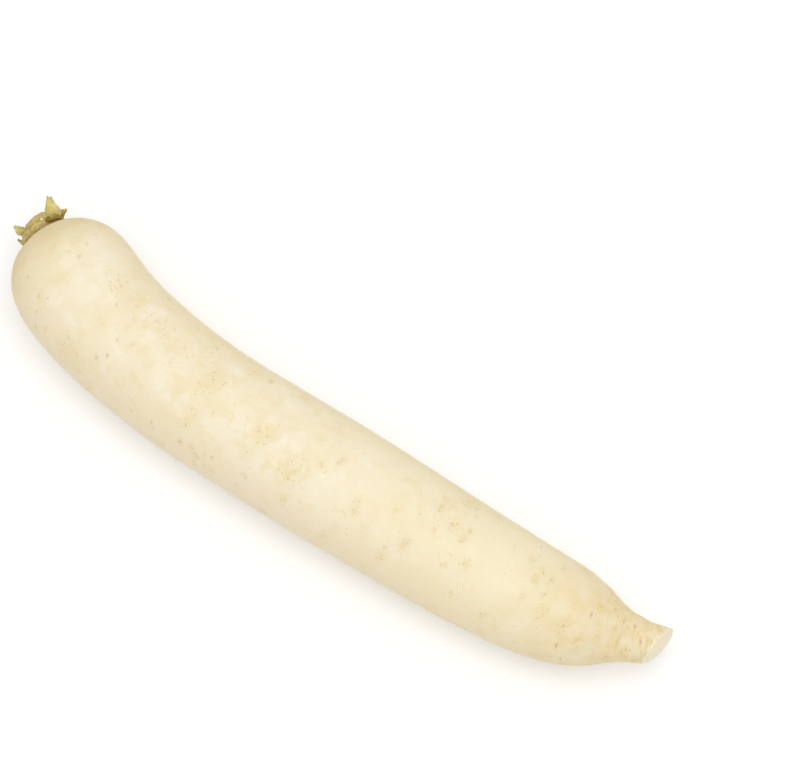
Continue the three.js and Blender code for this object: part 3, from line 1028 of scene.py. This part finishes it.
def skin_material(length):
    """Cream skin with soft yellow clouds, stains, pin pricks and fine rings."""
    s = Shader("daikon_skin", SKIN)
    place = s.attribute("skin_mm", "Vector")
    along, across, _ = s.split(place)
    ragged = s.strayed(place, 3.0, 1.6)

    s.lay("warmer", s.band(s.noise(place, 34), 0.35, 0.65))
    s.lay("lighter", s.band(s.noise(place, 11, 3, 0.6), 0.47, 0.7, 0, 0.6))
    clouds = s.band(s.noise(ragged, 9, 3, 0.6), 0.48, 0.66)
    cover = s.band(s.noise(place, 46, 1), 0.36, 0.56, 0.3, 1.0)
    s.lay("cloud", clouds, cover, 0.42)
    streaks = s.noise(s.stretch(place, (1.0, 0.22, 0.22)), 1.3, 3, 0.6)
    s.lay("streak", s.band(streaks, 0.55, 0.75, 0, 0.16))

    near_flank = s.band(across, -0.95 * BODY_HALF, -0.55 * BODY_HALF, 1.0, 0.0)
    s.lay("near flank", near_flank, 0.7)
    far_flank = s.band(across, 0.5 * BODY_HALF, 0.95 * BODY_HALF)
    s.lay("far flank", far_flank, 0.6)

    # Tan towards the crown end: partly the skin's own tone, partly painted shade.
    near_crown = s.band(along, 4, 34, 1.0, 0.0)
    crown_patches = s.band(s.noise(place, 12, 3), 0.35, 0.65, 0.55, 1.0)
    s.lay("near crown", near_crown, crown_patches, 0.78)
    s.lay("crown end", s.band(along, -2, 22, 1.0, 0.0), 0.75)
    s.lay("far half", s.band(along, 0.45 * length, 0.75 * length), 0.35)
    near_tip = s.band(along, length - 70, length - 20)
    tip_patches = s.band(s.noise(place, 7, 3), 0.4, 0.65, 0.1, 1.0)
    s.lay("near tip", near_tip, 0.24)
    s.lay("tip patch", near_tip, tip_patches, 0.54)
    by_cut = s.band(along, length - 11, length - 4)
    cut_patches = s.band(s.noise(place, 4, 3), 0.42, 0.62)
    s.lay("patch by the cut", by_cut, cut_patches, 0.6)
    neck = s.band(along, length - 34, length - 14)
    creases = s.band(s.noise(s.stretch(place, (1.0, 0.2, 0.2)), 1.6, 3, 0.65), 0.5, 0.66)
    s.lay("crease", creases, neck, 0.36)

    # Tan in patches low down, near the floor: darker towards the bottom.
    low_down = s.band(s.split(s.position())[2], 4 * MM, 24 * MM, 1.0, 0.0)
    low_tan = s.band(s.noise(ragged, 9, 4, 0.6), 0.36, 0.8)
    s.lay("low_tan", low_down, low_tan, 0.42)

    clusters = s.band(s.noise(place, 20), 0.42, 0.62)
    smudges = s.band(s.noise(ragged, 3.2, 3, 0.6), 0.56, 0.72)
    s.lay("smudge", smudges, clusters, 0.38)
    flecks = s.band(s.noise(place, 1.3, 3, 0.65), 0.6, 0.74)
    s.lay("fleck", flecks, clusters, 0.5)
    s.lay("prick", s.spots(ragged, 6, 0.4, 0.3, 3, 0.2), 0.75)
    dashes = s.spots(s.stretch(ragged, (1.0, 0.3, 0.3)), 5, 0.42, 0.35, 4, 0.2)
    s.lay("dash", dashes, 0.35)

    stain = s.attribute("stain")
    stained = s.band(stain, 0.12, 0.6)
    s.lay("stain", stain, 0.3)
    s.lay("blot", s.spots(ragged, 2.4, 0.95, 0.5, 5, 0.1), stained, 0.5)
    breakup = s.band(s.noise(place, 0.8, 3, 0.6), 0.35, 0.62, 0.2, 1.0)
    s.lay("speck", s.spots(ragged, 1.3, 0.5, 0.4, 6, 0.1), breakup, stained, 0.72)
    s.lay("dark", s.attribute("dark"), breakup, 0.75)
    torn = s.band(s.noise(place, 1.2, 3, 0.6), 0.3, 0.7, -0.3, 0.3)
    by_rim = s.band(s.maths("ADD", s.attribute("rim"), torn), 0.15, 0.95)
    s.lay("rim", by_rim, 0.85)

    grain = s.noise(place, 0.7, 3, 0.6)
    rings = s.noise(s.stretch(place, (1.0, 0.12, 0.12)), 0.9)
    s.bump(s.maths("ADD", s.product(grain, 0.5), s.product(rings, 0.7)), 0.35, 0.12 * MM)
    return s.finish(s.band(s.noise(place, 5), 0.3, 0.7, 0.44, 0.58), 0.32, 0.12, 1.6 * MM)


def flesh_material():
    """The knife-cut face: pale, moist flesh with faint rays and a ring under the skin."""
    s = Shader("daikon_flesh", FLESH)
    place = s.attribute("skin_mm", "Vector")
    grain = s.noise(place, 0.6, 3, 0.6)
    s.lay("grain", s.band(grain, 0.35, 0.7))
    s.lay("cloud", s.band(s.noise(place, 3.0), 0.4, 0.65, 0, 0.6))
    rim = s.attribute("rim")
    s.lay("rim", rim, 0.7)
    s.lay("ring", s.band(rim, 0.12, 0.3), s.band(rim, 0.3, 0.5, 1.0, 0.0), 0.5)
    _, across, above = s.split(place)
    turn = s.maths("ARCTAN2", above, across)
    rays = s.band(s.noise(s.join(s.product(turn, RAYS)), 1.0), 0.52, 0.66)
    from_middle = s.distance(s.stretch(place, (0, 1, 1)))
    rays = s.product(rays, s.band(from_middle, 0.8, 3.5))
    s.lay("ray", rays, 0.35)
    s.bump(s.maths("ADD", grain, s.product(rays, 0.4)), 0.4, 0.12 * MM)
    return s.finish(0.4, 0.4, 0.15, 2 * MM)


def leaf_material(node, look, highlight_spot):
    """A leaf stub: strands along it, a darker edge, dried patches, and maybe a pale spot of painted
    highlight.
    """
    *colours, dried, _ = look
    s = Shader("daikon_" + node, LEAF | dict(zip(("base", "shade", "rim", "foot"), colours)))
    place = s.attribute("crown_mm", "Vector")
    height = s.split(place)[2]
    strands = s.noise(s.join(s.attribute("across"), s.product(height, 0.16)), 0.5, 3, 0.6)
    patches = s.noise(place, 2.6, 3, 0.6)
    s.lay("shade", s.band(patches, 0.38, 0.64))
    s.lay("rim", s.band(strands, 0.45, 0.7, 0, 0.4))
    # The dark foot is the stub's dried brown; on old_leaf_base_3 it is partly painted shade as well.
    foot_top = FOOT_TOPS.get(node, FOOT_TOP)
    wavy = s.maths("ADD", height, s.band(s.noise(place, 1.5), 0.3, 0.7, -1.3, 1.3))
    low_down = s.band(wavy, foot_top - 2, foot_top, 1.0, 0.0)
    s.lay("foot", low_down, s.band(patches, 0.3, 0.6, 1.0, 0.7), dried)
    rings = s.noise(s.stretch(place, (0.3, 0.3, 2.2)), 1.1, 3, 0.65)
    s.lay("ring", s.band(rings, 0.47, 0.64), s.band(height, 4.0, 7.5, 0.6, 0.0))
    edge, margin = s.product(s.attribute("edge"), 0.75), s.product(s.attribute("margin"), 0.5)
    uneven = s.band(s.noise(place, 0.9, 3, 0.6), 0.35, 0.65, 0.35, 1.0)
    s.lay("rim", s.maths("MAXIMUM", edge, margin), uneven)
    # A pale spot of painted highlight.
    if highlight_spot:
        s.lay("highlight_spot", s.band(s.distance(place, highlight_spot), *HIGHLIGHT_FADE, 1.0, 0.0))
    s.bump(s.maths("ADD", strands, s.noise(place, 0.35, 3, 0.6)), 0.5, 0.12 * MM)
    return s.finish(s.band(patches, 0.3, 0.7, 0.42, 0.62), 0.35, 0.1, 1.0 * MM)


def stem_material():
    """The stem: yellow olive, finely ringed, darker along its foot, and darker still on its +y side with
    painted shade.
    """
    s = Shader("daikon_stem", STEM)
    place = s.attribute("crown_mm", "Vector")
    _, sideways, height = s.split(place)
    rings = s.noise(s.stretch(place, (0.3, 0.3, 2.4)), 1.2, 3, 0.65)
    patches = s.noise(place, 2.6, 3, 0.6)
    s.lay("shade", s.band(patches, 0.4, 0.62))
    s.lay("ring", s.band(rings, 0.47, 0.64, 0, 0.7))
    pinkish = s.noise(s.stretch(place, (1, 1, 1.3)), 3.4)
    s.lay("pinkish", s.band(pinkish, 0.55, 0.68, 0, 0.7))
    s.lay("pale", s.band(s.noise(place, 0.8), 0.64, 0.76, 0, 0.6))
    # Darker along the foot: partly the stem's own brown, partly painted shade, strongest on the +y side
    # under leaf_stalk_1.
    wavy = s.maths("ADD", height, s.band(s.noise(place, 2.2), 0.3, 0.7, -0.8, 0.8))
    seam_and_shade = s.band(wavy, 0.5, 2.6, 1.0, 0.0)
    s.lay("seam_and_shade", seam_and_shade, s.band(sideways, 0.5, 4.5, 0.55, 1.0))
    s.bump(s.maths("ADD", rings, s.noise(place, 0.4, 3, 0.6)), 0.7, 0.2 * MM)
    return s.finish(s.band(patches, 0.3, 0.7, 0.5, 0.7), 0.3, 0.05, 1.0 * MM)


def bud_material():
    """The bud: pale yellow green, with painted shade in the grooves between its folded leaves."""
    s = Shader("daikon_heart", BUD)
    place = s.attribute("crown_mm", "Vector")
    # The dark base colour stays in the grooves between the folds as painted shade.
    s.lay("fold", s.band(s.attribute("margin"), 0.1, 0.7))
    s.lay("shade", s.band(s.noise(place, 0.8, 3), 0.45, 0.7, 0, 0.5))
    s.bump(s.noise(place, 0.3, 3, 0.6), 0.4, 0.1 * MM)
    return s.finish(0.45, 0.35, 0.15, 1.0 * MM)


# ---- The stage ----


def place_camera():
    a, e = math.radians(AZIMUTH), math.radians(ELEVATION)
    back = Vector((math.sin(a) * math.cos(e), -math.cos(a) * math.cos(e), math.sin(e)))
    camera = add("camera", bpy.data.cameras.new("camera"))
    camera.data.lens = LENS
    camera.location = CAMERA_TARGET + back * CAMERA_DISTANCE
    camera.rotation_euler = back.to_track_quat("Z", "Y").to_euler()
    bpy.context.scene.camera = camera


def add_floor():
    half = FLOOR_HALF
    corners = ((-half, -half), (half, -half), (half, half), (-half, half))
    floor = add_mesh("floor", [(x, y, FLOOR_LEVEL) for x, y in corners], [(0, 1, 2, 3)])
    s = Shader("pale_floor", {"base": "ffffff"})
    s.colour = (FLOOR_SHADE, FLOOR_SHADE, FLOOR_SHADE, 1)
    lift = s.band(s.distance(s.position()), FLOOR_NEAR, FLOOR_FAR, FLOOR_LIFT, FLOOR_LIFT_FAR)
    glow = s.product(s.seen_directly(), lift)
    s.fill(s.surface, {"Emission Color": (1, 1, 1, 1), "Emission Strength": glow})
    floor.data.materials.append(s.finish(0.9, 0.0))


def light_world():
    world = bpy.data.worlds.new("studio")
    bpy.context.scene.world = world
    world.use_nodes = True
    s = Nodes(world.node_tree)
    strength = s.band(s.seen_directly(), 0, 1, WORLD_LIGHT, 1.0)
    s.fill(s.nodes["Background"].inputs, {"Color": (1, 1, 1, 1), "Strength": strength})


def add_key_light():
    lamp = add("key", bpy.data.lights.new("key", "AREA"))
    lamp.data.shape = "DISK"
    lamp.data.size = KEY_SIZE
    lamp.data.energy = KEY_WATTS
    lamp.location = KEY_PLACE
    lamp.rotation_euler = Vector(KEY_PLACE).to_track_quat("Z", "Y").to_euler()


root = build_root(MiddleLine(tree_of("root")))
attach(root, "root")
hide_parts("root")

build_crown(Crown())
place_camera()
add_floor()
light_world()
add_key_light()
bpy.context.scene.view_settings.view_transform = "Standard"
